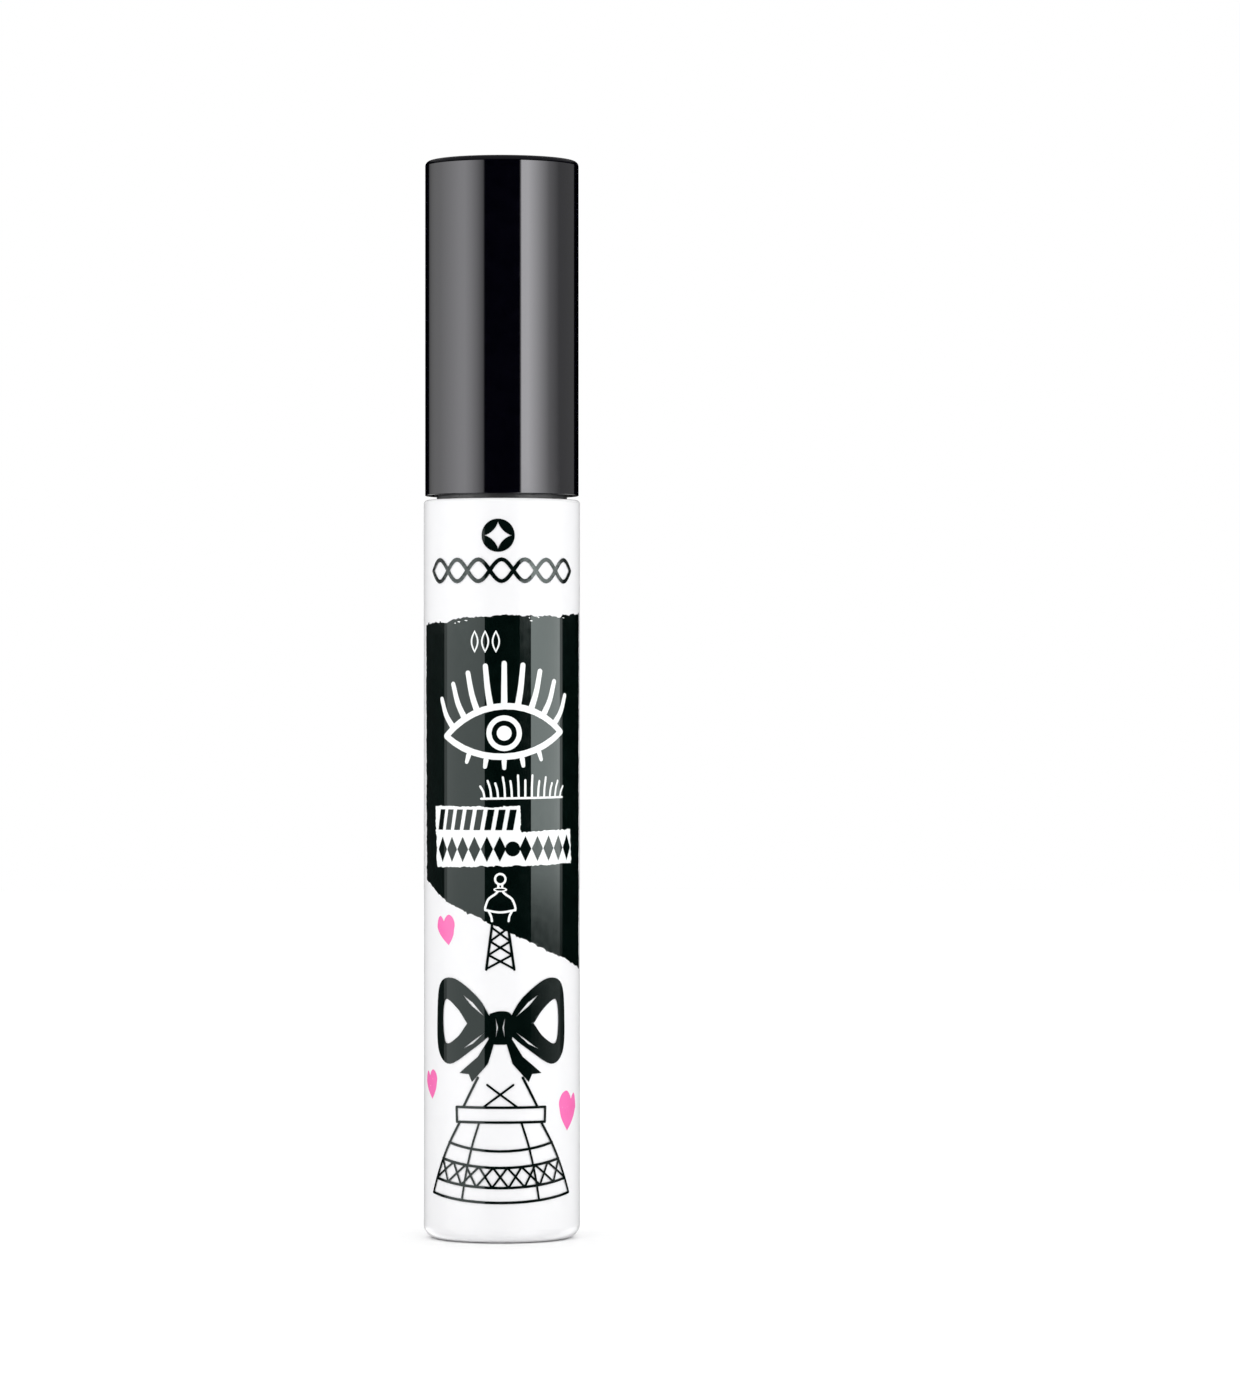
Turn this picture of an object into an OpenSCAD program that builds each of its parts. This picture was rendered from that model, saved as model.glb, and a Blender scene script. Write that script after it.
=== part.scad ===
/* [Cap] */
// Outer diameter of the cap
cap_d = 17.8; // [17.2:0.1:18.6]
// Height of the cap, rim to top
cap_h = 38.8; // [34:0.2:46]
// Radius on the cap's top edge
cap_edge_r = 0.6; // [0.3:0.1:1.2]
// Radius on the outside of the cap's rim
cap_rim_r = 0.1; // [0.05:0.05:0.3]
// Thickness of the cap shell's top
cap_top_wall = 1.6; // [1.2:0.1:2.4]

/* [Bottle] */
// Outer diameter of the bottle
bottle_d = 18.1; // [17.6:0.1:19]
// Height of the bottle, base to shoulder
bottle_h = 85.4; // [80:0.2:95]
// Radius on the bottle's base edge
base_edge_r = 1.5; // [0.8:0.1:1.5]
// Radius on the bottle's shoulder edge
shoulder_edge_r = 0.4; // [0.2:0.1:0.8]
// Diameter of the dark collar seen below the cap
collar_d = 15.1; // [14.8:0.1:15.1]
// Height of the gap between bottle and cap
rim_gap = 0.5; // [0.4:0.1:1]

/* [Neck thread] */
// Root diameter of the neck's thread
neck_d = 11.2; // [11.2:0.1:11.4]
// Height of the ridge above its root
thread_depth = 0.6; // [0.5:0.05:0.6]
// Rise of the thread in one turn
thread_pitch = 3.0; // [2.8:0.1:3.2]
// Turns from closed to free
thread_turns = 1.5; // [1:0.25:1.75]

/* [Applicator] */
// Diameter of the rod where it leaves the cap
rod_d = 4.1; // [3.6:0.05:4.15]
// Diameter of the rod near its tip
rod_tip_d = 3.96; // [3.4:0.02:4.0]
// Length of rod that shows below the cap's rim
rod_reach = 54.6; // [48:0.2:58]
// Length of the brush past the rod's tip
brush_len = 25.3; // [22:0.1:25.5]
// Diameter over the fibres beside the rod
brush_root_d = 7.6; // [6:0.1:8]
// Diameter over the fibres at the tip
brush_tip_d = 5.8; // [4.5:0.1:7]
// Sideways bow of the brush at its middle
brush_bow = 1.2; // [0:0.1:1.3]
// Sideways lean of the brush at its tip
brush_lean = 0.9; // [0:0.1:1]
// Diameter of one strand of the wire core
strand_d = 0.55; // [0.4:0.05:0.6]
// Length of one full twist of the wire core
twist_pitch = 2.8; // [2.4:0.1:4]

/* [Hidden] */
$fn = 72;

// Running gap between pieces that turn or slide past each other
gap = 0.1;
// Gap between pieces pressed or glued together
seat = 0.05;
// Length by which a cut starts outside a face
overcut = 0.01;

// Heights along the tube, closed, with the base at 0
cap_z = bottle_h + rim_gap;
total_h = cap_z + cap_h;
collar_top = cap_z + 0.25;
neck_top = cap_z + 12.4;
rod_tip_z = cap_z - rod_reach;
brush_tip_z = rod_tip_z - brush_len;

// Bottle shell and the label in its base
bottle_r = bottle_d / 2;
shell_floor = 1.6;
label_r = 5.8;
label_h = 0.12;
label_recess = 0.2;

// Vial inside the shell
vial_r = collar_d / 2;
vial_wall = 0.9;
vial_floor = 1.0;
vial_base_r = 0.8;
collar_edge_r = 0.1;
neck_edge_r = 0.15;
vial_bore_r = vial_r - vial_wall;
vial_floor_z = shell_floor + vial_floor;
vial_corner_r = 2.0;
neck_bore_r = 4.6;
vial_cone_z = bottle_h - 4.4;
vial_deck_z = bottle_h - 1.2;

// Formula lining the vial, with the hollow that the brush works in
formula_top = 72;
formula_hollow_r = 5.3;

// Thread, shared by neck and liner
neck_r = neck_d / 2;
crest_r = neck_r + thread_depth;
ridge_play = 0.15;
thread_z = collar_top + 3.3;
ridge_root_w = thread_pitch / 2 + 0.33;
ridge_crest_w = thread_pitch / 2 - 0.47;
ridge_sink = 0.3;
ridge_foot_spread = 0.17;
ridge_fade_steps = 6;
ridge_steps = 48;
liner_ridge_start = 180;

// Wiper seated in the neck
wiper_flange_r = neck_r - 0.1;
wiper_flange_h = 0.8;
wiper_r = neck_bore_r;
wiper_bore_r = 3.7;
wiper_orifice_r = rod_d / 2 + 0.08;
wiper_mouth_r = wiper_bore_r + 0.4;
wiper_lip_w = 0.5;
wiper_lip_h = 0.9;
wiper_cone_h = 4.8;
wiper_lip_z = neck_top - 11.6;

// Gasket above the wiper
gasket_z = neck_top + wiper_flange_h + 0.05;
gasket_h = 0.8;
gasket_r = neck_r - 0.1;
gasket_hole_r = rod_d / 2 + 0.35;

// Liner inside the cap
cap_r = cap_d / 2;
cap_wall = 1.25;
cap_lead_in = 0.3;
cap_bore_r = cap_r - cap_wall;
liner_r = cap_bore_r - seat;
liner_skin_r = liner_r - 0.4;
liner_z = cap_z + 0.3;
liner_bore_r = crest_r + ridge_play;
liner_ceiling = gasket_z + gasket_h + 0.08;
liner_deck_h = 1.5;
liner_deck_z = liner_ceiling + liner_deck_h;
liner_top = cap_z + 27;
liner_well_r = 3.9;
liner_foot_h = 1.2;
liner_snap = 0.25;
liner_snap_h = 1.2;
liner_ribs = 12;
liner_rib_w = 0.8;
liner_rib_root = 0.5;

// Rod head and the ring that locks it in the liner
rod_head_r = liner_well_r - seat;
rod_head_h = 1.6;
rod_spigot_r = 1.6;
spigot_chamfer = 0.4;
rod_top = liner_deck_z + 9;
retainer_z = liner_deck_z + rod_head_h + gap;
retainer_h = 1.6;
retainer_top = retainer_z + retainer_h;
retainer_edge_r = 0.2;
socket_depth = 8;
socket_play = 0.04;
rod_nose_r = 0.9;
rod_nose_len = 4.5;
rod_nose_taper = 0.22;

// Wire core and the loop at its tip
strand_r = strand_d / 2;
strand_offset = strand_r + 0.02;
strand_sides = 6;
twist_steps = 12;
loop_r = 0.42;
loop_step = 20;
loop_open = asin(strand_offset / loop_r);
loop_z = brush_tip_z + strand_r + loop_r * (1 + cos(loop_open));
wire_top = rod_tip_z + socket_depth;
wire_steps = ceil((wire_top - loop_z) / twist_pitch * twist_steps);
core_r = strand_offset + strand_r;

// Sleeve that stands for the fibres
bristle_hole_r = core_r + 0.08;
bristle_top_z = rod_tip_z - 0.3;
bristle_low_z = brush_tip_z + 1.2;
bristle_sides = 18;
bristle_rings = 14;

// Sideways place of the wire's centre line at height z
function along(z) = min(1, max(0, (rod_tip_z - z) / brush_len));
function lean_at(z) = brush_lean * along(z) + brush_bow * (1 - pow(2 * along(z) - 1, 2));

// Cylinder with its lower and upper outer edges rounded
module rounded_rod(r, h, r_low, r_high) {
    rotate_extrude() {
        difference() {
            square([r, h]);
            if (r_low > 0) edge_cut(r, 0, r_low, 1);
            if (r_high > 0) edge_cut(r, h, r_high, -1);
        }
    }
}

// Corner removed from a profile to leave a round edge, side 1 at the bottom and -1 at the top
module edge_cut(r, z, edge_r, side) {
    difference() {
        translate([r - edge_r, side > 0 ? z - 1 : z - edge_r]) square([edge_r + 1, edge_r + 1]);
        translate([r - edge_r, z + side * edge_r]) circle(edge_r);
    }
}

// Plain round hole between two heights
module hole(r, z_low, z_high) {
    translate([0, 0, z_low]) cylinder(r = r, h = z_high - z_low);
}

// Closed solid through rings of points, each ring with the same number of points
module skin(rings) {
    n = len(rings[0]);
    last = len(rings) - 1;
    points = [for (ring = rings) for (p = ring) p];
    sides = [for (i = [0:last - 1]) for (j = [0:n - 1])
        [i * n + j, i * n + (j + 1) % n, (i + 1) * n + (j + 1) % n, (i + 1) * n + j]];
    low = [[for (j = [n - 1:-1:0]) j]];
    high = [[for (j = [0:n - 1]) last * n + j]];
    polyhedron(points, concat(low, sides, high), convexity = 10);
}

// Helical ridge of the thread: root_r at its foot, tip_r at its crest, tapered off at both ends
module thread_ridge(root_r, tip_r, z, start, turns) {
    out = tip_r > root_r ? 1 : -1;
    count = round(turns * ridge_steps);
    rings = [for (i = [0:count])
        let (a = start + 360 * i / ridge_steps)
        let (fade = min(1, (min(i, count - i) + 0.4) / ridge_fade_steps))
        let (zc = z + thread_pitch * a / 360)
        let (foot = root_r - out * ridge_sink)
        let (top = root_r + (tip_r - root_r) * fade)
        let (wf = ridge_root_w / 2 + ridge_foot_spread)
        let (wt = ridge_crest_w / 2 + (ridge_root_w - ridge_crest_w) / 2 * (1 - fade))
        let (section = [[foot, -wf], [top, -wt], [top, wt], [foot, wf]])
        [for (k = [0:3])
            let (p = section[out > 0 ? k : 3 - k])
            [p[0] * cos(a), p[0] * sin(a), zc + p[1]]]];
    skin(rings);
}

// White outer shell of the bottle, closed at the base
module bottle_shell() {
    color("white")
    difference() {
        rounded_rod(bottle_r, bottle_h, base_edge_r, shoulder_edge_r);
        hole(vial_r + seat, shell_floor, bottle_h + 1);
        hole(label_r + gap, -1, label_recess);
    }
}

// Dark inner vial: reservoir, collar and threaded neck in one piece
module inner_vial() {
    color([0.16, 0.16, 0.17]) {
        difference() {
            union() {
                translate([0, 0, shell_floor])
                rounded_rod(vial_r, collar_top - shell_floor, vial_base_r, collar_edge_r);
                translate([0, 0, vial_deck_z])
                rounded_rod(neck_r, neck_top - vial_deck_z, 0, neck_edge_r);
                thread_ridge(neck_r, crest_r, thread_z, 0, thread_turns);
            }
            vial_cavity();
        }
    }
}

// Space inside the vial, with a rounded floor and a cone up to the neck's bore
module vial_cavity() {
    rotate_extrude() {
        difference() {
            polygon([[0, vial_floor_z], [vial_bore_r, vial_floor_z], [vial_bore_r, vial_cone_z],
                [neck_bore_r, vial_deck_z], [neck_bore_r, neck_top + 1], [0, neck_top + 1]]);
            edge_cut(vial_bore_r, vial_floor_z, vial_corner_r, 1);
        }
    }
}

// Soft wiper pressed into the neck; its lip strips the rod and brush
module wiper() {
    color([0.82, 0.82, 0.80])
    rotate_extrude()
    polygon([[wiper_flange_r, neck_top], [wiper_flange_r, neck_top + wiper_flange_h],
        [wiper_mouth_r, neck_top + wiper_flange_h], [wiper_bore_r, neck_top + 0.2],
        [wiper_bore_r, wiper_lip_z + wiper_cone_h], [wiper_orifice_r, wiper_lip_z + wiper_lip_h],
        [wiper_orifice_r, wiper_lip_z], [wiper_orifice_r + wiper_lip_w, wiper_lip_z],
        [wiper_r - 0.3, wiper_lip_z + wiper_cone_h - 0.6], [wiper_r, wiper_lip_z + wiper_cone_h],
        [wiper_r, neck_top]]);
}

// Mascara left on the walls and floor of the vial
module formula() {
    color([0.03, 0.03, 0.03])
    rotate_extrude() {
        difference() {
            polygon([[0, vial_floor_z], [vial_bore_r, vial_floor_z], [vial_bore_r, formula_top],
                [formula_hollow_r + 0.3, formula_top - 0.6], [formula_hollow_r, formula_top - 2],
                [formula_hollow_r, brush_tip_z + 0.8], [formula_hollow_r - 2, brush_tip_z - 1.2],
                [0, brush_tip_z - 1.6]]);
            edge_cut(vial_bore_r, vial_floor_z, vial_corner_r, 1);
        }
    }
}

// Round label in the recess of the base
module base_label() {
    color([0.12, 0.12, 0.12])
    translate([0, 0, label_recess - label_h]) cylinder(r = label_r, h = label_h);
}

// Flat ring that seals the liner on the wiper's flange
module neck_gasket() {
    color([0.9, 0.9, 0.88])
    difference() {
        hole(gasket_r, gasket_z, gasket_z + gasket_h);
        hole(gasket_hole_r, gasket_z - 1, gasket_z + gasket_h + 1);
    }
}

// Ring over the rod's head that locks it in the liner
module rod_retainer() {
    color([0.72, 0.72, 0.74])
    difference() {
        translate([0, 0, retainer_z])
        rounded_rod(liner_well_r - gap, retainer_h, retainer_edge_r, retainer_edge_r);
        hole(rod_spigot_r + gap, retainer_z - 1, retainer_top + 1);
    }
}

// Glossy black outer cap
module cap_shell() {
    color([0.02, 0.02, 0.03])
    difference() {
        translate([0, 0, cap_z]) rounded_rod(cap_r, cap_h, cap_rim_r, cap_edge_r);
        hole(cap_bore_r, cap_z - 1, total_h - cap_top_wall);
        translate([0, 0, cap_z - overcut])
        cylinder(r1 = cap_bore_r + cap_lead_in + overcut, r2 = cap_bore_r, h = cap_lead_in + overcut);
    }
}

// Inner cap: threaded skirt, deck that carries the rod, and ribs that grip the outer cap
module cap_liner() {
    color([0.10, 0.10, 0.11])
    difference() {
        union() {
            difference() {
                union() {
                    translate([0, 0, liner_z]) rounded_rod(liner_skin_r, liner_top - liner_z, 0, 0.4);
                    hole(liner_r, liner_z, liner_z + liner_foot_h);
                    liner_rib_ring();
                }
                hole(liner_bore_r, liner_z - 1, liner_ceiling);
            }
            thread_ridge(liner_bore_r, neck_r + ridge_play, thread_z - thread_pitch / 2, liner_ridge_start,
                thread_turns - 0.25);
        }
        hole(rod_d / 2 + seat, liner_ceiling - 1, liner_deck_z + 1);
        hole(liner_well_r, liner_deck_z, retainer_top + gap);
        hole(liner_well_r - liner_snap, retainer_top, retainer_top + 2);
        hole(liner_well_r + 1, retainer_top + liner_snap_h, liner_top + 1);
    }
}

// Ribs down the outside of the liner
module liner_rib_ring() {
    for (i = [0:liner_ribs - 1]) {
        rotate(i * 360 / liner_ribs)
        translate([liner_skin_r - liner_rib_root, -liner_rib_w / 2, liner_z + 1])
        cube([liner_r - liner_skin_r + liner_rib_root - seat, liner_rib_w, liner_top - liner_z - 3]);
    }
}

// Rod: head in the liner, tapered stem and a socket for the wire at its tip
module rod() {
    color([0.07, 0.07, 0.08])
    difference() {
        rotate_extrude()
        polygon(concat([[0, rod_tip_z]], rod_nose_profile(),
            [[rod_d / 2, cap_z - 1], [rod_d / 2, liner_deck_z + seat], [rod_head_r, liner_deck_z + seat],
            [rod_head_r, liner_deck_z + rod_head_h], [rod_spigot_r, liner_deck_z + rod_head_h],
            [rod_spigot_r, rod_top - spigot_chamfer], [rod_spigot_r - spigot_chamfer, rod_top],
            [0, rod_top]]));
        hole(core_r + socket_play, rod_tip_z - 1, rod_tip_z + socket_depth + 0.2);
    }
}

// Rounded tip of the rod, then a taper that eases into the straight stem
function rod_nose_profile() =
    let (centre_r = rod_tip_d / 2 - rod_nose_taper - rod_nose_r)
    let (turns = [for (a = [-90:15:0]) rod_nose_r * [cos(a), 1 + sin(a)]])
    let (stem_z = rod_tip_z + rod_nose_r)
    concat([for (turn = turns) [centre_r, rod_tip_z] + turn],
        [for (t = [0.2:0.2:1]) [rod_tip_d / 2 - rod_nose_taper * pow(1 - t, 2), stem_z + rod_nose_len * t]]);

// Unit vector along v
function unit(v) = v / norm(v);

// Turn of the twist at height z
function twist_at(z) = 360 * (rod_tip_z - z) / twist_pitch;

// Centre of one strand at height z, side 1 or -1
function strand_at(z, side) =
    [lean_at(z) + side * strand_offset * cos(twist_at(z)), side * strand_offset * sin(twist_at(z)), z];

// Centres round the loop that joins the two strands, in the plane that the twist ends in
function loop_path() =
    let (a = twist_at(loop_z))
    [for (t = [loop_open:loop_step:360 - loop_open])
        [lean_at(loop_z) + loop_r * sin(t) * cos(a), loop_r * sin(t) * sin(a),
            loop_z - loop_r * cos(loop_open) + loop_r * cos(t)]];

// Centres of the whole wire: down one strand, round the loop and back up the other
function wire_path() = concat(
    [for (i = [0:wire_steps]) strand_at(wire_top - (wire_top - loop_z) * i / wire_steps, 1)],
    loop_path(),
    [for (i = [wire_steps:-1:0]) strand_at(wire_top - (wire_top - loop_z) * i / wire_steps, -1)]);

// Ring of points round the wire at one centre, along being the wire's run there
function wire_ring(centre, along) =
    let (a = twist_at(max(centre[2], loop_z)))
    let (side = unit(cross([sin(a), -cos(a), 0], along)))
    let (up = cross(along, side))
    [for (k = [0:strand_sides - 1])
        centre + strand_r * (cos(360 * k / strand_sides) * side + sin(360 * k / strand_sides) * up)];

// Twisted wire core, one wire folded in two
module wire_core() {
    path = wire_path();
    last = len(path) - 1;
    color([0.75, 0.75, 0.77])
    skin([for (i = [0:last]) wire_ring(path[i], unit(path[min(i + 1, last)] - path[max(i - 1, 0)]))]);
}

// Radius over the fibres at ring i
function envelope_r(i) =
    let (t = i / bristle_rings)
    let (taper = min(1, t * 1.6))
    (brush_root_d + (brush_tip_d - brush_root_d) * taper) / 2 * (1 - 0.18 * pow(t, 12));

// Ring of radius r round the wire's centre line at ring i
function bristle_ring(i, r) =
    let (z = bristle_top_z - (bristle_top_z - bristle_low_z) * i / bristle_rings)
    [for (k = [0:bristle_sides - 1])
        [lean_at(z) + r * cos(360 * k / bristle_sides), r * sin(360 * k / bristle_sides), z]];

// Envelope of the fibres, a tapered sleeve that follows the wire's bow
module bristles() {
    outer = [for (i = [0:bristle_rings]) bristle_ring(i, envelope_r(i))];
    inner = [for (i = [bristle_rings:-1:0]) bristle_ring(i, bristle_hole_r)];
    color([0.05, 0.05, 0.05]) sleeve(concat(outer, inner));
}

// Closed sleeve through rings that run down the outside and back up the inside
module sleeve(rings) {
    n = len(rings[0]);
    count = len(rings);
    points = [for (ring = rings) for (p = ring) p];
    faces = [for (i = [0:count - 1]) for (j = [0:n - 1])
        let (next = (i + 1) % count)
        [i * n + j, i * n + (j + 1) % n, next * n + (j + 1) % n, next * n + j]];
    polyhedron(points, [for (f = faces) [f[3], f[2], f[1], f[0]]], convexity = 10);
}

bottle_shell();
inner_vial();
wiper();
formula();
base_label();
neck_gasket();
rod_retainer();
cap_shell();
cap_liner();
rod();
wire_core();
bristles();
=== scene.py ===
import math
import random

import bmesh
import bpy
import numpy as np
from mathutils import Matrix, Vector
from mathutils.geometry import tessellate_polygon


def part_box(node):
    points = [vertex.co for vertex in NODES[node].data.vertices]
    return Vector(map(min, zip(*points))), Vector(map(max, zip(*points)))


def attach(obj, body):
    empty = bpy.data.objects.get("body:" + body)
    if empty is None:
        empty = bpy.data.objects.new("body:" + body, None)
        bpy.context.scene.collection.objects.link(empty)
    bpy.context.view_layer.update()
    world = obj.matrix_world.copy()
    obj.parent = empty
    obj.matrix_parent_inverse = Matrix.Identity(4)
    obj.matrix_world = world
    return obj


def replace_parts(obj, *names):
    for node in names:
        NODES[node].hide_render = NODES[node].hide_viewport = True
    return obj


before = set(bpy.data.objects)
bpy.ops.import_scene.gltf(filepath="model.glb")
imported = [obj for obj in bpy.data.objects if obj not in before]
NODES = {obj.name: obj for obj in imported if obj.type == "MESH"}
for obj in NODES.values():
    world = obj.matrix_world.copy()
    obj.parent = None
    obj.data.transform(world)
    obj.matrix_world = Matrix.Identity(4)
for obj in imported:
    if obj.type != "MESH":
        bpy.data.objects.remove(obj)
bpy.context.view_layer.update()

MM = 0.001

# Sizes read from the frame
bottle_low, bottle_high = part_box("bottle_shell")
bottle_r = (bottle_high[0] - bottle_low[0]) / 2
total_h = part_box("cap_shell")[1][2]
rod_tip_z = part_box("rod")[0][2]
brush_tip_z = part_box("wire_core")[0][2]

# Camera: level, a hair under half the tube's height, and to its right, so the tube stands left of centre
camera_distance = 0.660
camera_side = 0.0137
camera_lens = 146.3
camera_height = total_h / 2 - 0.0001


# ---------------------------------------------------------------- materials

class Nodes:
    """Short calls for building one material's node tree."""

    def __init__(self, name):
        self.mat = bpy.data.materials.new(name)
        self.mat.use_nodes = True
        self.tree = self.mat.node_tree
        self.shader = self.tree.nodes["Principled BSDF"]

    def add(self, kind):
        return self.tree.nodes.new(kind)

    def link(self, source, target):
        self.tree.links.new(source, target)

    def noise(self, per_mm, detail, stretch=(1, 1, 1)):
        """Noise with about per_mm features in a millimetre, times stretch along each axis."""
        place = self.add("ShaderNodeTexCoord")
        mapping = self.add("ShaderNodeMapping")
        mapping.inputs["Scale"].default_value = [s / MM for s in stretch]
        noise = self.add("ShaderNodeTexNoise")
        noise.inputs["Scale"].default_value = per_mm
        noise.inputs["Detail"].default_value = detail
        self.link(place.outputs["Object"], mapping.inputs["Vector"])
        self.link(mapping.outputs["Vector"], noise.inputs["Vector"])
        return noise.outputs["Fac"]

    def ramp(self, source, low, high):
        """Colours from low to high as source goes from 0.35 to 0.65."""
        ramp = self.add("ShaderNodeValToRGB")
        first, last = ramp.color_ramp.elements
        first.position = 0.35
        last.position = 0.65
        first.color = (*low, 1)
        last.color = (*high, 1)
        self.link(source, ramp.inputs["Fac"])
        return ramp.outputs["Color"]

    def spread(self, source, low, high):
        """Numbers from low to high as source goes from 0.3 to 0.7."""
        spread = self.add("ShaderNodeMapRange")
        spread.inputs["From Min"].default_value = 0.3
        spread.inputs["From Max"].default_value = 0.7
        spread.inputs["To Min"].default_value = low
        spread.inputs["To Max"].default_value = high
        self.link(source, spread.inputs["Value"])
        return spread.outputs["Result"]

    def bump(self, source, height_mm):
        bump = self.add("ShaderNodeBump")
        bump.inputs["Distance"].default_value = height_mm * MM
        bump.inputs["Strength"].default_value = 1.0
        self.link(source, bump.inputs["Height"])
        self.link(bump.outputs["Normal"], self.shader.inputs["Normal"])


def polymer(name, low, high, rough, grain, grain_mm, uneven=0.2, stretch=(1, 1, 1), **sockets):
    """Moulded or lacquered surface: colour from low to high, uneven gloss and a fine surface grain.

    grain is in features per millimetre and grain_mm is its height. uneven is how far the gloss strays
    from rough, as a share of it. The sockets are set on the shader as they are.
    """
    m = Nodes(name)
    m.link(m.ramp(m.noise(0.6, 4.0, stretch), low, high), m.shader.inputs["Base Color"])
    gloss = m.spread(m.noise(grain * 0.5, 4.0, stretch), rough * (1 - uneven), rough * (1 + uneven))
    m.link(gloss, m.shader.inputs["Roughness"])
    m.bump(m.noise(grain, 2.0, stretch), grain_mm)
    for key, value in sockets.items():
        m.shader.inputs[key.replace("_", " ")].default_value = value
    return m.mat


def metal(name, low, high, rough):
    """Drawn metal: uneven colour and gloss, and fine scratches as bump."""
    m = Nodes(name)
    m.link(m.ramp(m.noise(6.0, 4.0), low, high), m.shader.inputs["Base Color"])
    m.link(m.spread(m.noise(12.0, 3.0), rough * 0.7, rough * 1.4), m.shader.inputs["Roughness"])
    m.bump(m.noise(20.0, 2.0), 0.004)
    m.shader.inputs["Metallic"].default_value = 1.0
    return m.mat


white_lacquer = polymer("white_lacquer", (0.868, 0.868, 0.880), (0.878, 0.878, 0.888), 0.26,
                        5.0, 0.00005, 0.05, Specular_IOR_Level=0.35)
cap_gloss = polymer("cap_gloss", (0.0006, 0.0006, 0.0020), (0.0012, 0.0011, 0.0030), 0.05,
                    1.2, 0.00015, Specular_Tint=(0.97, 0.96, 1.0, 1))
dark_polymer = polymer("dark_polymer", (0.062, 0.064, 0.066), (0.078, 0.080, 0.084), 0.34, 5.0, 0.002)
rod_satin = polymer("rod_satin", (0.008, 0.011, 0.011), (0.012, 0.015, 0.015), 0.30,
                    6.0, 0.001, stretch=(1, 1, 0.15))
soft_polymer = polymer("soft_polymer", (0.46, 0.46, 0.44), (0.54, 0.54, 0.52), 0.34,
                       3.0, 0.004, Subsurface_Weight=0.25, Subsurface_Scale=0.0006)
retainer_polymer = polymer("retainer_polymer", (0.52, 0.52, 0.53), (0.60, 0.60, 0.61), 0.4, 4.0, 0.004)
mascara = polymer("mascara", (0.004, 0.0035, 0.0035), (0.010, 0.008, 0.008), 0.16,
                  1.6, 0.05, Coat_Weight=0.4, Coat_Roughness=0.03)
label_paper = polymer("label_paper", (0.020, 0.020, 0.021), (0.032, 0.032, 0.034), 0.5, 14.0, 0.004)
fibre = polymer("fibre", (0.003, 0.003, 0.0035), (0.010, 0.011, 0.012), 0.42, 5.0, 0.004)
dark_ink = polymer("dark_ink", (0.0008, 0.0034, 0.0028), (0.0016, 0.0048, 0.0040), 0.06,
                   2.2, 0.0002, Specular_Tint=(0.88, 1.0, 0.97, 1))
white_ink = polymer("white_ink", (0.90, 0.93, 0.92), (0.95, 0.97, 0.96), 0.25, 3.0, 0.0008)
pink_ink = polymer("pink_ink", (0.92, 0.155, 0.45), (0.94, 0.170, 0.48), 0.25, 5.0, 0.0002, 0.1)
steel = metal("steel", (0.42, 0.42, 0.41), (0.58, 0.58, 0.57), 0.28)

NODE_MATERIALS = {
    "bottle_shell": white_lacquer,
    "inner_vial": dark_polymer,
    "wiper": soft_polymer,
    "formula": mascara,
    "base_label": label_paper,
    "neck_gasket": soft_polymer,
    "rod_retainer": retainer_polymer,
    "cap_shell": cap_gloss,
    "cap_liner": dark_polymer,
    "rod": rod_satin,
}
for name, material in NODE_MATERIALS.items():
    NODES[name].data.materials.clear()
    NODES[name].data.materials.append(material)


# ------------------------------------------------------------- mesh pieces

def link_piece(name, data, material, body):
    data.materials.append(material)
    obj = bpy.data.objects.new(name, data)
    bpy.context.scene.collection.objects.link(obj)
    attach(obj, body)
    return obj


# Printed art is drawn flat in millimetres, as (distance round the bottle from its front, height),
# then cut into narrow upright strips, given the thickness of a coat of ink and wrapped on the bottle.
INK_MM = 0.012
FOOT_MM = 0.002
LIFT_MM = 0.0005
STRIP_MM = 0.45


def flat_area(bm, loops, lift):
    """Adds the area inside loops[0] and outside the other loops to bm, with lift as its third axis."""
    points = [Vector((u, z, lift)) for loop in loops for u, z in loop]
    verts = [bm.verts.new(p) for p in points]
    for tri in tessellate_polygon([[Vector((u, z, 0)) for u, z in loop] for loop in loops]):
        corners = [points[i] for i in tri]
        if (corners[1] - corners[0]).cross(corners[2] - corners[0]).length > 1e-9:
            bm.faces.new([verts[i] for i in tri])


def wrapped(point, radius_mm):
    """Place on the bottle, in metres, of a flat point whose third axis is its height over radius_mm."""
    r = radius_mm + point.z
    turn = point.x / radius_mm
    return Vector((r * math.sin(turn), -r * math.cos(turn), point.y)) * MM


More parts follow.
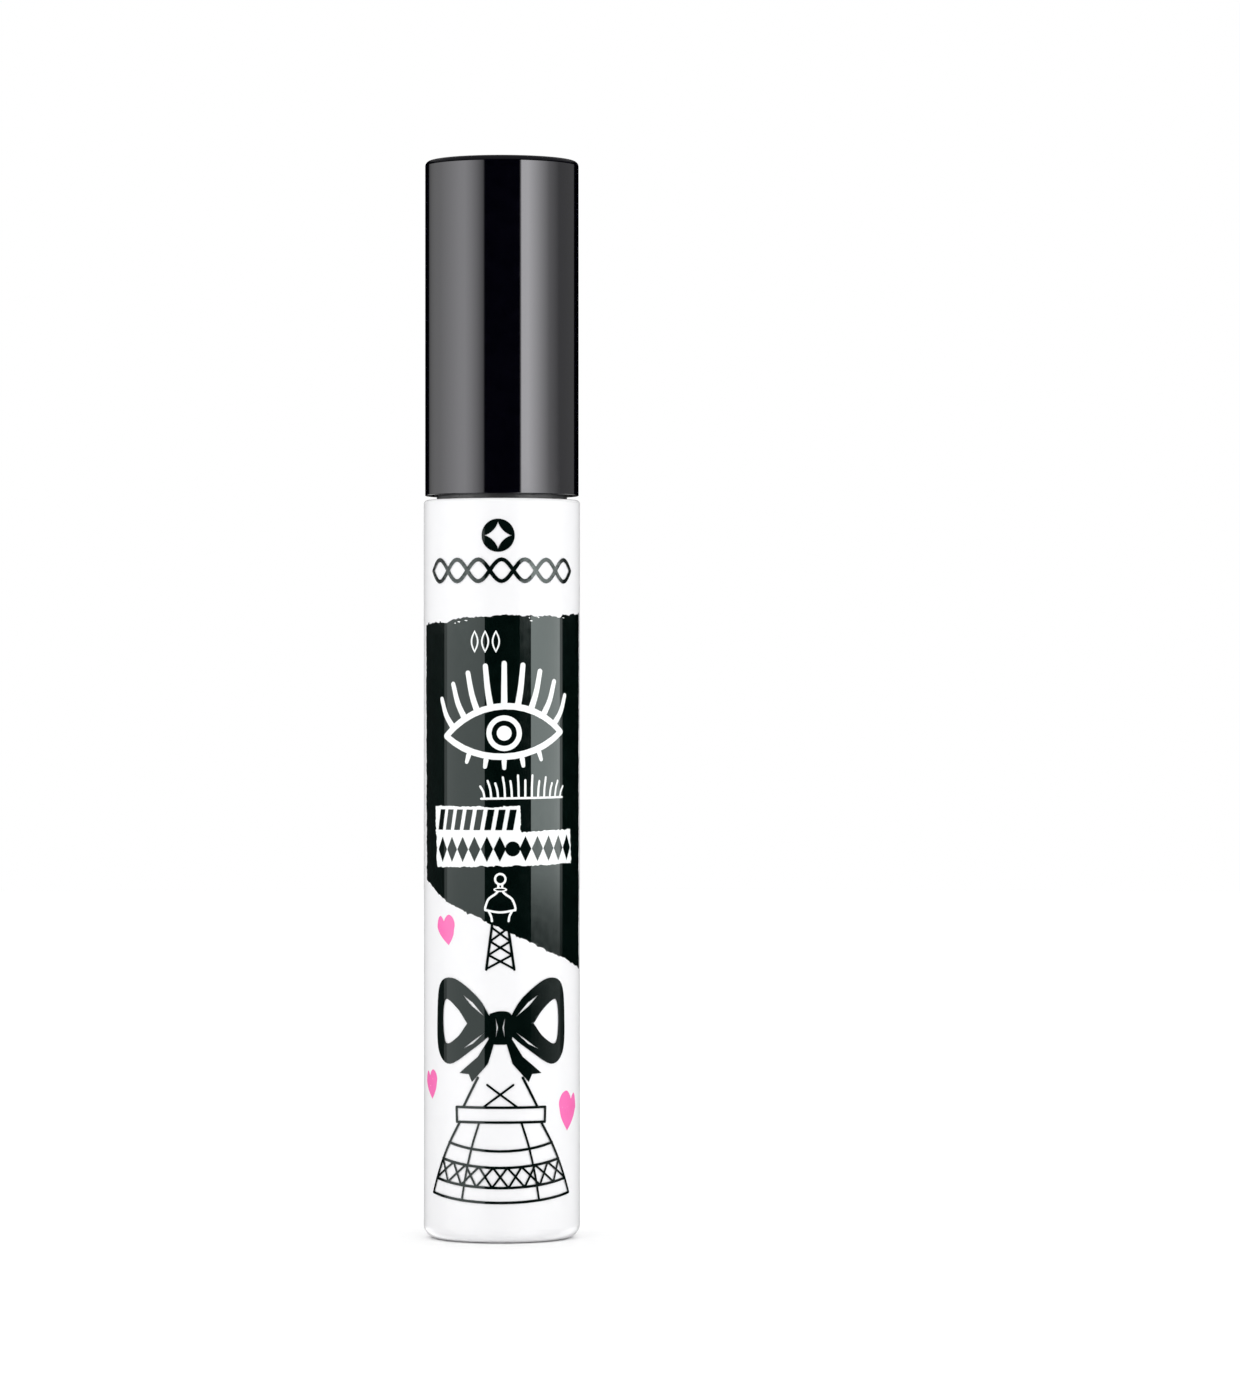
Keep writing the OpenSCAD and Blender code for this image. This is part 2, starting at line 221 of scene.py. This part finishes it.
def print_piece(name, shapes, material, coat):
    """A printed piece of the flat shapes, each a list of loops, lying FOOT_MM over coat layers of ink.

    Each shape lies LIFT_MM higher than the one before, so that no two share a plane where they cross.
    """
    radius_mm = bottle_r / MM
    bm = bmesh.new()
    for k, loops in enumerate(shapes):
        flat_area(bm, loops, k * LIFT_MM)
    widest = max(abs(v.co.x) for v in bm.verts)
    for k in range(-int(widest / STRIP_MM), int(widest / STRIP_MM) + 1):
        everything = bm.verts[:] + bm.edges[:] + bm.faces[:]
        bmesh.ops.bisect_plane(bm, geom=everything, plane_co=(k * STRIP_MM, 0, 0), plane_no=(1, 0, 0))
    bmesh.ops.dissolve_degenerate(bm, dist=LIFT_MM / 5, edges=bm.edges[:])
    for f in bm.faces:
        if f.normal.z > 0:
            f.normal_flip()
    made = bmesh.ops.extrude_face_region(bm, geom=bm.faces[:], use_keep_orig=True)
    for v in made["geom"]:
        if isinstance(v, bmesh.types.BMVert):
            v.co.z += INK_MM
    bmesh.ops.recalc_face_normals(bm, faces=bm.faces[:])
    for v in bm.verts:
        v.co.z += coat * INK_MM + FOOT_MM
        v.co = wrapped(v.co, radius_mm)
    mesh = bpy.data.meshes.new(name)
    bm.to_mesh(mesh)
    bm.free()
    return link_piece(name, mesh, material, "bottle")


# ------------------------------------------------------------ flat drawing

def smooth(points, steps):
    """Points along a Catmull-Rom curve through points, steps of them to each stretch."""
    p = [np.array(q, float) for q in points]
    p = [2 * p[0] - p[1]] + p + [2 * p[-1] - p[-2]]
    curve = []
    for a, b, c, d in zip(p, p[1:], p[2:], p[3:]):
        for i in range(steps):
            t = i / steps
            curve.append(0.5 * (2 * b + (c - a) * t + (2 * a - 5 * b + 4 * c - d) * t * t
                                + (3 * b - a - 3 * c + d) * t ** 3))
    return [tuple(q) for q in curve] + [tuple(p[-2])]


def stroke(points, width, end_width=None):
    """Loop round a line of the flat points with round ends, going from width to end_width."""
    p = np.array(points, float)
    along = np.gradient(p, axis=0)
    along /= np.linalg.norm(along, axis=1)[:, None]
    side = np.stack([-along[:, 1], along[:, 0]], axis=1)
    half = np.linspace(width, width if end_width is None else end_width, len(p))[:, None] / 2
    turns = np.linspace(math.pi / 2, -math.pi / 2, 7)[1:-1, None]
    last_cap = p[-1] + half[-1] * (np.cos(turns) * along[-1] + np.sin(turns) * side[-1])
    first_cap = p[0] - half[0] * (np.cos(turns) * along[0] + np.sin(turns) * side[0])
    loop = np.concatenate([p + half * side, last_cap, (p - half * side)[::-1], first_cap])
    return [tuple(q) for q in loop]


def disc(u, z, r, count=32):
    """Circle as a loop of count points."""
    return [(u + r * math.cos(2 * math.pi * i / count), z + r * math.sin(2 * math.pi * i / count))
            for i in range(count)]


def oval(u, z, half_w, half_h):
    return [(u + half_w * x, z + half_h * y) for x, y in disc(0, 0, 1, 24)]


def line(a, b, width, end_width=None):
    """Straight stroke from a to b."""
    return [stroke([a, ((a[0] + b[0]) / 2, (a[1] + b[1]) / 2), b], width, end_width)]


def arc(a, b, rise, width):
    """Bowed line from a to b whose middle stands rise above the straight one."""
    points = []
    for i in range(13):
        t = i / 12
        points.append((a[0] + (b[0] - a[0]) * t, a[1] + (b[1] - a[1]) * t + 4 * rise * t * (1 - t)))
    return [stroke(points, width)]


def torn(points, rough_mm, step_mm, seed):
    """Closed loop through points with a torn edge: a broad wander, fine teeth and a few nicks."""
    rng = random.Random(seed)
    loop = []
    for a, b in zip(points, points[1:] + points[:1]):
        length = math.dist(a, b)
        count = max(2, round(length / step_mm))
        nu, nz = (b[1] - a[1]) / length, -(b[0] - a[0]) / length
        wander = 0.0
        for i in range(count):
            wander = 0.75 * wander + rough_mm * rng.uniform(-0.55, 0.55)
            nick = rough_mm * rng.uniform(-1.6, 0.4) if rng.random() < 0.06 else 0.0
            off = wander + rough_mm * rng.uniform(-0.25, 0.25) + nick
            t = (i + rng.uniform(-0.3, 0.3)) / count if i else 0.0
            loop.append((a[0] + (b[0] - a[0]) * t + nu * off, a[1] + (b[1] - a[1]) * t + nz * off))
    return loop


def heart(u, z, width, height, lean, lop, seed):
    """Hand-drawn heart with full sides: lean pushes its tip sideways, and lop its notch."""
    rng = random.Random(seed)
    half = smooth([(0, 0.55), (0.2, 0.82), (0.5, 1.0), (0.84, 0.82), (1.0, 0.36), (0.82, -0.2),
                   (0.48, -0.6), (0, -1)], 6)
    loop = []
    for side, points in ((1, half[:-1]), (-1, half[:0:-1])):
        swell = rng.uniform(0.95, 1.03)
        for x, y in points:
            x *= side * swell
            upper = min(1.0, max(0.0, 2 * y))
            sag = upper * max(0.0, lop * x)
            x += upper * lop * (1 - x * x)
            loop.append((u + x * width / 2 + lean * max(0.0, -y), z + (y - sag) * height / 2))
    return [loop]


def lattice(left_top, right_top, left_low, right_low, rows, width):
    """Crossed lines filling a four-sided panel in rows."""
    def mix(a, b, t):
        return (a[0] + (b[0] - a[0]) * t, a[1] + (b[1] - a[1]) * t)

    shapes = []
    for k in range(rows):
        a, b = k / rows, (k + 1) / rows
        shapes.append(line(mix(left_top, left_low, a), mix(right_top, right_low, b), width))
        shapes.append(line(mix(right_top, right_low, a), mix(left_top, left_low, b), width))
    return shapes


# ------------------------------------------------------------- printed art

FINE = 0.25
MEDIUM = 0.30

# Dark painted field with torn edges
field_edge = [(-11.5, 71.0), (-6.8, 71.2), (-4.2, 71.8), (2.0, 71.9), (8.2, 71.9), (12.6, 72.4),
              (12.7, 60.0), (12.5, 46.0), (12.7, 31.2), (8.6, 32.5), (5.4, 33.6), (1.1, 35.6),
              (-2.4, 37.3), (-7.1, 39.3), (-11.3, 41.6), (-11.5, 52.0)]
print_piece("printed_field", [[torn(field_edge, 0.16, 0.22, 5)]], dark_ink, 0)


def open_eye(u, z, half_w):
    """Big open eye in thick strokes, with a fan of lashes over it and short ones under it."""
    thick = 0.74
    shapes = [arc((u - half_w, z), (u + half_w, z + 0.5), 3.2, thick),
              arc((u - half_w, z), (u + half_w, z + 0.5), -2.6, thick)]
    shapes.append([disc(u, z + 0.35, 2.05), disc(u, z + 0.35, 1.45)[::-1]])
    shapes.append([disc(u, z + 0.35, 0.85)])
    lashes = 9
    for k in range(lashes):
        t = (k + 0.7) / (lashes + 0.4)
        s = 2 * t - 1
        foot = (u + s * half_w, z + 0.5 * t + 12.8 * t * (1 - t))
        reach = 4.9 - 1.4 * s * s
        tilt = math.radians(46) * s
        tip = (foot[0] + reach * math.sin(tilt) * 0.75, foot[1] + reach * math.cos(tilt * 0.8))
        mid = ((foot[0] + tip[0]) / 2 + 0.25 * s, (foot[1] + tip[1]) / 2 - 0.15)
        shapes.append([stroke(smooth([foot, mid, tip], 5), thick, thick * 0.8)])
    for k in range(5):
        t = (k + 1.5) / 7
        s = 2 * t - 1
        foot = (u + s * half_w, z + 0.5 * t - 10.4 * t * (1 - t) - 0.5)
        shapes.append(line(foot, (foot[0] + 0.45 * s, foot[1] - 0.8), thick * 0.8, thick * 0.6))
    return shapes


def lash_comb(left, right, z, height):
    """Thin ground line with a row of thin lashes standing on it."""
    shapes = [line((left, z), (right, z + 0.15), FINE)]
    count = 13
    for k in range(count):
        t = (k + 0.5) / count
        u = left + (right - left) * t
        tall = height * (0.62 + 0.38 * math.sin(math.pi * t)) * (1.0 if k % 2 else 0.78)
        lean = 0.55 * (2 * t - 1)
        shapes.append([stroke(smooth([(u, z + 0.15 * t), (u + lean * 0.3, z + tall * 0.55),
                                      (u + lean, z + tall)], 4), FINE)])
    return shapes


def leaf(u, z, width, height, thick):
    """Upright leaf in outline."""
    def side(w, h):
        up = [(u + w / 2 * math.sin(math.pi * i / 12), z - h / 2 + h * i / 12) for i in range(13)]
        down = [(2 * u - x, y) for x, y in up[-2:0:-1]]
        return up + down

    return [side(width, height), side(width - 2 * thick, height - 3.2 * thick)[::-1]]


white_art = [leaf(u, 68.95, 0.95, 2.6, 0.19) for u in (-3.0, -1.75, -0.5)]
white_art += open_eye(0.45, 58.1, 7.3)
white_art += lash_comb(-2.2, 8.0, 50.95, 2.7)
block_edge = [(-8.8, 50.05), (-3.0, 50.0), (2.2, 50.15), (2.4, 47.15), (9.7, 47.4), (9.8, 43.45),
              (0.0, 43.2), (-8.5, 43.1), (-8.7, 46.9)]
white_art.append([torn(block_edge, 0.11, 0.18, 11)])


def finial():
    """Outline of the dress form's knob: a small ball over a ring and a turned dome."""
    ball = [disc(0, 41.75, 0.72, 28), disc(0, 41.75, 0.72 - FINE, 28)[::-1]]
    ring = [oval(0, 40.55, 0.78, 0.26), oval(0, 40.55, 0.78 - FINE * 0.8, 0.26 - FINE * 0.55)[::-1]]
    shapes = [ball, ring]
    shapes += [line((u, 41.1), (u, 40.8), FINE) for u in (-0.22, 0.22)]
    left = [(-0.3, 40.3), (-0.62, 40.0), (-1.35, 39.45), (-1.7, 38.6), (-1.72, 38.2)]
    foot = [(-1.72, 38.2), (0, 37.95), (1.72, 38.2)]
    waist = [(-1.3, 38.0), (-1.05, 37.5), (-0.95, 36.95)]
    for run in (left, waist):
        shapes.append([stroke(smooth(run, 6), FINE)])
        shapes.append([stroke(smooth([(-u, z) for u, z in run], 6), FINE)])
    shapes.append([stroke(smooth(foot, 8), FINE)])
    return shapes


white_art += finial()


def flecks():
    """Small gaps in the paint along the field's upper edge."""
    rng = random.Random(3)
    shapes = []
    for k in range(7):
        u = rng.uniform(-11.0, 12.0)
        z = 71.2 + 0.045 * (u + 11) - rng.uniform(0.15, 0.6)
        w = rng.uniform(0.06, 0.26)
        h = rng.uniform(0.05, 0.11)
        corners = [(u - w, z), (u, z + h), (u + w, z + h / 3), (u + w / 2, z - h)]
        shapes.append([torn(corners, 0.03, 0.08, k)])
    return shapes


white_art += flecks()
print_piece("printed_white_art", white_art, white_ink, 1)


def block_pattern():
    """Bold slanted bars over a row of lozenges, on the torn white block."""
    shapes = []
    for k in range(8):
        u = -8.2 + 1.27 * k
        shapes.append([[(u, 47.35), (u + 0.78, 47.35), (u + 1.2, 49.7), (u + 0.42, 49.7)]])
    for k in range(12):
        u = -7.45 + 1.48 * k
        z = 45.1 + 0.018 * k
        if k == 6:
            shapes.append([disc(u, z, 0.85)])
        else:
            shapes.append([[(u - 0.7, z), (u, z - 1.45), (u + 0.7, z), (u, z + 1.45)]])
    return shapes


def bow():
    """Big ribbon bow: two loops with a hollow and a fold each, a knot and two tails."""
    shapes = []
    for side in (-1, 1):
        outer = smooth([(side * 0.9, 25.5), (side * 2.6, 28.2), (side * 5.6, 30.3), (side * 7.9, 29.6),
                        (side * 8.4, 25.6), (side * 8.1, 21.9), (side * 6.2, 20.5), (side * 3.0, 22.4),
                        (side * 0.9, 24.1)], 6)
        hollow = smooth([(side * 3.9, 25.2), (side * 5.2, 26.9), (side * 6.9, 27.9), (side * 7.35, 25.6),
                         (side * 6.9, 22.9), (side * 5.2, 23.6), (side * 3.9, 25.2)], 5)[:-1]
        upper_fold = [(side * 1.8, 26.0), (side * 3.2, 27.6), (side * 4.5, 28.5), (side * 3.3, 27.2)]
        lower_fold = [(side * 1.8, 24.2), (side * 3.2, 23.2), (side * 4.4, 22.3), (side * 3.2, 22.9)]
        shapes.append([outer, hollow, upper_fold, lower_fold])
        tail = [(side * 0.5, 23.6), (side * 1.35, 23.4), (side * 2.6, 21.4), (side * 4.9, 19.5),
                (side * 3.7, 19.4), (side * 3.3, 18.5), (side * 1.4, 20.6)]
        shapes.append([tail])
    knot = [(-1.2, 26.35), (0, 26.65), (1.2, 26.35), (1.45, 24.8), (1.2, 23.1), (0, 22.8), (-1.2, 23.1),
            (-1.45, 24.8), (-1.2, 26.35)]
    crease = [(-0.55, 25.9), (-0.25, 24.8), (-0.5, 23.6), (-0.42, 24.8)]
    shapes.append([smooth(knot, 5)[:-1], crease, [(-u, z) for u, z in crease]])
    return shapes


def dress_form():
    """Line drawing under the finial: laced neck, bow, waistband and a hooped skirt."""
    shapes = [line((-0.92, 36.6), (-1.6, 31.4), MEDIUM), line((0.92, 36.1), (1.6, 31.4), MEDIUM)]
    shapes += lattice((-0.95, 36.2), (0.95, 36.2), (-1.55, 31.5), (1.55, 31.5), 3, FINE)
    shapes += bow()
    shapes += [line((-2.6, 19.0), (-4.4, 15.6), MEDIUM), line((2.6, 19.0), (4.4, 15.6), MEDIUM)]
    shapes += lattice((-1.5, 18.2), (1.5, 18.2), (-2.0, 15.6), (2.0, 15.6), 1, FINE)
    band = [(-5.3, 15.6), (5.4, 15.6), (5.35, 13.9), (-5.25, 13.9)]
    shapes += [line(a, b, MEDIUM) for a, b in zip(band, band[1:] + band[:1])]

    def rib(share):
        return smooth([(4.9 * share, 13.8), (6.6 * share, 11.2 - 0.25 * share ** 2),
                       (8.1 * share, 8.0), (9.2 * share, 5.6 - 0.9 * (1 - share ** 2))], 5)

    shapes += [[stroke(rib(s), MEDIUM if abs(s) == 1 else FINE)] for s in (-1, -0.5, 0.5, 1)]
    hoops = [(6.35, 11.5), (7.35, 9.6), (8.45, 7.3), (9.2, 5.6)]
    shapes += [arc((-w, z), (w, z), -0.9, MEDIUM) for w, z in hoops]
    cells = 9
    for k in range(cells):
        a, b = [(2 * (k + i) / cells - 1) for i in (0, 1)]
        top = [(7.35 * s, 9.6 - 0.9 * (1 - s * s)) for s in (a, b)]
        low = [(8.45 * s, 7.3 - 0.9 * (1 - s * s)) for s in (a, b)]
        shapes += [line(top[0], low[1], FINE), line(top[1], low[0], FINE)]
    return shapes


def emblem(u, z):
    """Solid disc with a four-pointed sparkle left open in it."""
    star = []
    for k in range(48):
        t = 2 * math.pi * k / 48
        star.append((u + 1.62 * math.cos(t) ** 3, z + 1.62 * math.sin(t) ** 3))
    return [[disc(u, z, 1.9, 48), star[::-1]]]


def braid(left, right, z, rise, lobes, thick):
    """Two waves that cross each other, with lobes between the crossings."""
    count = lobes * 10
    shapes = []
    for side in (-1, 1):
        points = []
        for i in range(count + 1):
            wave = side * rise * math.sin(math.pi * lobes * i / count)
            points.append((left + (right - left) * i / count, z + wave))
        shapes.append([stroke(points, thick)])
    return shapes


dark_art = emblem(-0.25, 81.1) + braid(-9.3, 9.6, 77.1, 1.25, 7, 0.46)
dark_art += block_pattern() + dress_form()
print_piece("printed_dark_art", dark_art, dark_ink, 4)

# Three hearts beside the art, and five on the sides and the back
hearts = [heart(-7.0, 35.85, 2.9, 3.5, 0.5, -0.2, 1), heart(-9.9, 18.0, 2.6, 3.4, 0.3, -0.25, 2),
          heart(9.3, 15.0, 3.6, 4.6, -0.3, 0.32, 3), heart(17.5, 45.5, 2.9, 3.5, 0.4, 0.2, 4),
          heart(21.5, 24.0, 3.4, 4.2, -0.4, -0.25, 5), heart(-18.0, 55.0, 2.7, 3.3, -0.3, 0.3, 6),
          heart(-22.5, 30.0, 3.2, 4.0, 0.4, -0.2, 7), heart(27.0, 66.0, 2.6, 3.2, 0.2, 0.2, 8)]
print_piece("printed_hearts", hearts, pink_ink, 0)


# ------------------------------------------------------------------- brush

# Wire core: one wire folded in two, each strand strand_offset from the core's centre
twist_pitch = 2.8 * MM
strand_r = 0.275 * MM
strand_offset = strand_r + 0.02 * MM
strand_steps = 200
loop_r = 0.42 * MM
loop_steps = 14
socket_depth = 8 * MM
brush_len = rod_tip_z - brush_tip_z

# Fibres: clumps up the brush, on both sides of the wire
clump_count = 165
fibre_len = 3.75 * MM
fibre_taper = 0.8 * MM
fibre_r_min = 0.055 * MM
fibre_r_max = 0.072 * MM

# The brush is bowed: its centre line is a parabola through the middle of the CAD wire
wire = np.array([v.co for v in NODES["wire_core"].data.vertices])
wire = wire[wire[:, 2] < rod_tip_z]
bow_fit = np.polyfit(wire[:, 2], wire[:, 0], 2)


def core_at(z):
    """Centre of the wire core at height z and the way it runs there; inside the rod it is straight."""
    run = Vector((np.polyval(np.polyder(bow_fit), z), 0, 1)).normalized()
    return Vector((np.polyval(bow_fit, min(z, rod_tip_z)), 0, z)), run


def twist_at(z):
    return 2 * math.pi * (rod_tip_z - z) / twist_pitch


def twisted_wire():
    """One round wire folded in two: down one strand, round the loop at the tip and back up the other."""
    opening = math.asin(strand_offset / loop_r)
    loop_z = brush_tip_z + strand_r + loop_r * (1 + math.cos(opening))
    top = rod_tip_z + socket_depth
    strands = []
    for side in (1, -1):
        strand = []
        for i in range(strand_steps + 1):
            z = top + (loop_z - top) * i / strand_steps
            turn = twist_at(z)
            across = Vector((math.cos(turn), math.sin(turn), 0))
            strand.append(core_at(z)[0] + side * strand_offset * across)
        strands.append(strand)
    turn = twist_at(loop_z)
    across = Vector((math.cos(turn), math.sin(turn), 0))
    middle = core_at(loop_z)[0] - Vector((0, 0, loop_r * math.cos(opening)))
    loop = []
    for i in range(1, loop_steps):
        t = opening + (2 * math.pi - 2 * opening) * i / loop_steps
        loop.append(middle + loop_r * (math.sin(t) * across + math.cos(t) * Vector((0, 0, 1))))
    path = strands[0] + loop + strands[1][::-1]
    curve = bpy.data.curves.new("twisted_wire", "CURVE")
    curve.dimensions = "3D"
    curve.bevel_depth = strand_r
    curve.bevel_resolution = 3
    curve.use_fill_caps = True
    spline = curve.splines.new("POLY")
    spline.points.add(len(path) - 1)
    for point, place in zip(spline.points, path):
        point.co = (*place, 1)
    return link_piece("twisted_wire", curve, steel, "applicator")


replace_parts(twisted_wire(), "wire_core")


def fibre_reach(t):
    """Length of the fibres from the core: t goes from 0 at the rod to 1 at the tip."""
    return fibre_len - fibre_taper * min(1.0, t * 1.7)


def add_tube(verts, faces, path, radii, sides=5):
    """Tapered tube with closed ends along path."""
    first = len(verts)
    run = (path[-1] - path[0]).normalized()
    across = run.orthogonal().normalized()
    over = run.cross(across)
    for p, r in zip(path, radii):
        for k in range(sides):
            t = 2 * math.pi * k / sides
            verts.append(p + r * (math.cos(t) * across + math.sin(t) * over))
    for i in range(len(path) - 1):
        for k in range(sides):
            a, b = first + i * sides + k, first + i * sides + (k + 1) % sides
            faces.append((a, b, b + sides, a + sides))
    faces.append(tuple(range(first + sides - 1, first - 1, -1)))
    last = first + (len(path) - 1) * sides
    faces.append(tuple(range(last, last + sides)))


def brush_fibres():
    """Fibres in two spiral rows, held between the wire's strands, some of them stuck together in clumps."""
    rng = random.Random(42)
    verts, faces = [], []
    top = rod_tip_z - 0.25 * MM
    low = brush_tip_z + 0.7 * MM
    for c in range(clump_count):
        z = top + (low - top) * (c + rng.uniform(0, 1)) / clump_count
        t = (rod_tip_z - z) / brush_len
        turn = twist_at(z) + math.pi / 2 + rng.gauss(0, 0.14)
        for side in (0, math.pi):
            aim = turn + side + rng.gauss(0, 0.08)
            tilt = rng.gauss(0, 0.12)
            reach = fibre_reach(t) * rng.uniform(0.88, 1.05)
            for _ in range(rng.choice((1, 1, 1, 2, 3))):
                centre, run = core_at(z + rng.gauss(0, 0.12) * MM)
                flat = Vector((math.cos(aim), math.sin(aim), 0))
                out = (flat - run * flat.dot(run)).normalized()
                lift = run * (tilt + rng.gauss(0, 0.06))
                spin = run.cross(out) * rng.gauss(0, 0.06)
                far = reach * rng.uniform(0.84, 1.0)
                sag = run * rng.gauss(0, 0.03) * far
                path = [centre + out * far * s + (lift + spin) * far * s * s + sag * 4 * s * (1 - s)
                        for s in (0.04, 0.3, 0.55, 0.8, 1.0)]
                thin = rng.uniform(fibre_r_min, fibre_r_max)
                add_tube(verts, faces, path, [thin, thin, thin, thin * 1.05, thin * rng.uniform(0.9, 1.35)])
    mesh = bpy.data.meshes.new("brush_fibres")
    mesh.from_pydata(verts, [], faces)
    mesh.polygons.foreach_set("use_smooth", [True] * len(mesh.polygons))
    return link_piece("brush_fibres", mesh, fibre, "applicator")


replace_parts(brush_fibres(), "bristles")


# ------------------------------------------------- floor, light and camera

def make_floor():
    mesh = bpy.data.meshes.new("studio_floor")
    bm = bmesh.new()
    bmesh.ops.create_circle(bm, cap_ends=True, segments=96, radius=1.2)
    bm.to_mesh(mesh)
    bm.free()
    floor = bpy.data.objects.new("studio_floor", mesh)
    floor.location = (0, 0, -0.00005)
    floor.visible_glossy = False
    bpy.context.scene.collection.objects.link(floor)
    mesh.materials.append(polymer("floor_paper", (0.93, 0.93, 0.93), (0.95, 0.95, 0.95), 0.9, 0.2, 0.002,
                                  Specular_IOR_Level=0.0))


BAND_SCALE = 10


def band(tree, turns, stops):
    """Brightness at turns round the horizon, from stops of (degrees, brightness up to BAND_SCALE)."""
    ramp = tree.nodes.new("ShaderNodeValToRGB")
    elements = ramp.color_ramp.elements
    while len(elements) > 1:
        elements.remove(elements[-1])
    for i, (degrees, bright) in enumerate(stops):
        place = degrees / 360 + 0.5
        element = elements[0] if i == 0 else elements.new(place)
        element.position = place
        element.color = (*[bright / BAND_SCALE] * 3, 1)
    tree.links.new(turns, ramp.inputs["Fac"])
    return ramp.outputs["Color"]


def maths(tree, operation, a, b):
    """Result of a Math node on two sockets or numbers."""
    node = tree.nodes.new("ShaderNodeMath")
    node.operation = operation
    for i, value in enumerate((a, b)):
        if isinstance(value, (int, float)):
            node.inputs[i].default_value = value
        else:
            tree.links.new(value, node.inputs[i])
    return node.outputs[0]


def fade(tree, value, start, end):
    """0 to 1, softly, as value goes from start to end."""
    node = tree.nodes.new("ShaderNodeMapRange")
    node.interpolation_type = "SMOOTHSTEP"
    node.inputs["From Min"].default_value = start
    node.inputs["From Max"].default_value = end
    tree.links.new(value, node.inputs["Value"])
    return node.outputs["Result"]


def blend_bands(tree, amount, below, above):
    """Bands going from below to above as amount goes from 0 to 1."""
    mix = tree.nodes.new("ShaderNodeMix")
    mix.data_type = "RGBA"
    tree.links.new(amount, mix.inputs["Factor"])
    tree.links.new(below, mix.inputs["A"])
    tree.links.new(above, mix.inputs["B"])
    return mix.outputs["Result"]


# Brightness round the horizon, as (degrees round from the front, brightness). In upright walls a level
# view sees OVER at the cap, LEVEL at the upper art and UNDER at the lower art; a view from above sees
# AROUND in them all.
OVER = [(-180, 0), (-142, 0), (-140, 0.3), (-104, 2.0), (-66, 4.7), (-56, 5.0), (-46, 4.2), (-36, 2.9),
        (-26.5, 1.3), (-25, 0), (29.3, 0), (30, 9.0), (41, 9.0), (61, 4.9), (77, 2.1), (97, 0.75),
        (139, 0.3), (141, 0), (180, 0)]
LEVEL = [(-180, 0), (-92, 0.06), (-88, 1.85), (-26, 1.85), (-24, 0), (44.5, 0), (46, 4.6), (97, 4.4),
         (100, 0), (180, 0)]
UNDER = [(-180, 0), (-92, 0.06), (-88, 1.5), (-26, 1.5), (-24, 0), (44.5, 0), (70, 0.3), (97, 0.5),
         (100, 0), (180, 0)]
AROUND = [(-180, 0.1), (-156, 0.1), (-154, 3.0), (-118, 1.2), (-116, 0.1), (-76, 0.1), (-74, 3.2),
          (-38, 1.4), (-36, 0.1), (24, 0.1), (26, 3.6), (62, 1.4), (64, 0.1), (112, 0.1), (114, 3.0),
          (150, 1.2), (152, 0.1), (180, 0.1)]


def make_studio():
    """White room: soft boxes to the left and right of the lens, a dark gap behind it, light from above."""
    world = bpy.data.worlds.new("studio")
    bpy.context.scene.world = world
    world.use_nodes = True
    tree = world.node_tree
    place = tree.nodes.new("ShaderNodeTexCoord")
    split = tree.nodes.new("ShaderNodeSeparateXYZ")
    tree.links.new(place.outputs["Generated"], split.inputs[0])
    x, y, z = split.outputs
    from_front = maths(tree, "ARCTAN2", x, maths(tree, "MULTIPLY", y, -1))
    turns = maths(tree, "ADD", maths(tree, "DIVIDE", from_front, 2 * math.pi), 0.5)

    # How steeply a mirrored ray rises, z, picks the bands that it sees
    over, level, under, around = [band(tree, turns, stops) for stops in (OVER, LEVEL, UNDER, AROUND)]
    bands = blend_bands(tree, fade(tree, z, -0.20, -0.12), around, under)
    bands = blend_bands(tree, fade(tree, z, -0.042, -0.024), bands, level)
    bands = blend_bands(tree, fade(tree, z, 0.016, 0.034), bands, over)
    boxes = tree.nodes.new("ShaderNodeBackground")
    tree.links.new(bands, boxes.inputs["Color"])
    reach = maths(tree, "SUBTRACT", 1, fade(tree, z, 0.10, 0.16))
    tree.links.new(maths(tree, "MULTIPLY", reach, BAND_SCALE), boxes.inputs["Strength"])

    # The light from above shows full in matt surfaces and faintly in gloss
    seen = tree.nodes.new("ShaderNodeLightPath")
    overhead = maths(tree, "SUBTRACT", 1.3, seen.outputs["Is Glossy Ray"])
    ceiling = maths(tree, "MULTIPLY", fade(tree, z, 0.25, 0.5), overhead)
    fill = maths(tree, "MULTIPLY", seen.outputs["Is Diffuse Ray"], 0.35)
    above = tree.nodes.new("ShaderNodeBackground")
    tree.links.new(maths(tree, "ADD", ceiling, fill), above.inputs["Strength"])
    both = tree.nodes.new("ShaderNodeAddShader")
    tree.links.new(boxes.outputs[0], both.inputs[0])
    tree.links.new(above.outputs[0], both.inputs[1])

    # The camera itself sees plain white past the floor
    plain = tree.nodes.new("ShaderNodeBackground")
    plain.inputs["Color"].default_value = (1, 1, 1, 1)
    choose = tree.nodes.new("ShaderNodeMixShader")
    tree.links.new(seen.outputs["Is Camera Ray"], choose.inputs[0])
    tree.links.new(both.outputs[0], choose.inputs[1])
    tree.links.new(plain.outputs[0], choose.inputs[2])
    tree.links.new(choose.outputs[0], tree.nodes["World Output"].inputs["Surface"])


def make_camera():
    data = bpy.data.cameras.new("camera")
    data.lens = camera_lens
    data.clip_start = 0.01
    camera = bpy.data.objects.new("camera", data)
    camera.location = (camera_side, -camera_distance, camera_height)
    camera.rotation_euler = (math.pi / 2, 0, 0)
    bpy.context.scene.collection.objects.link(camera)
    bpy.context.scene.camera = camera


make_floor()
make_studio()
make_camera()
bpy.context.scene.view_settings.view_transform = "Standard"
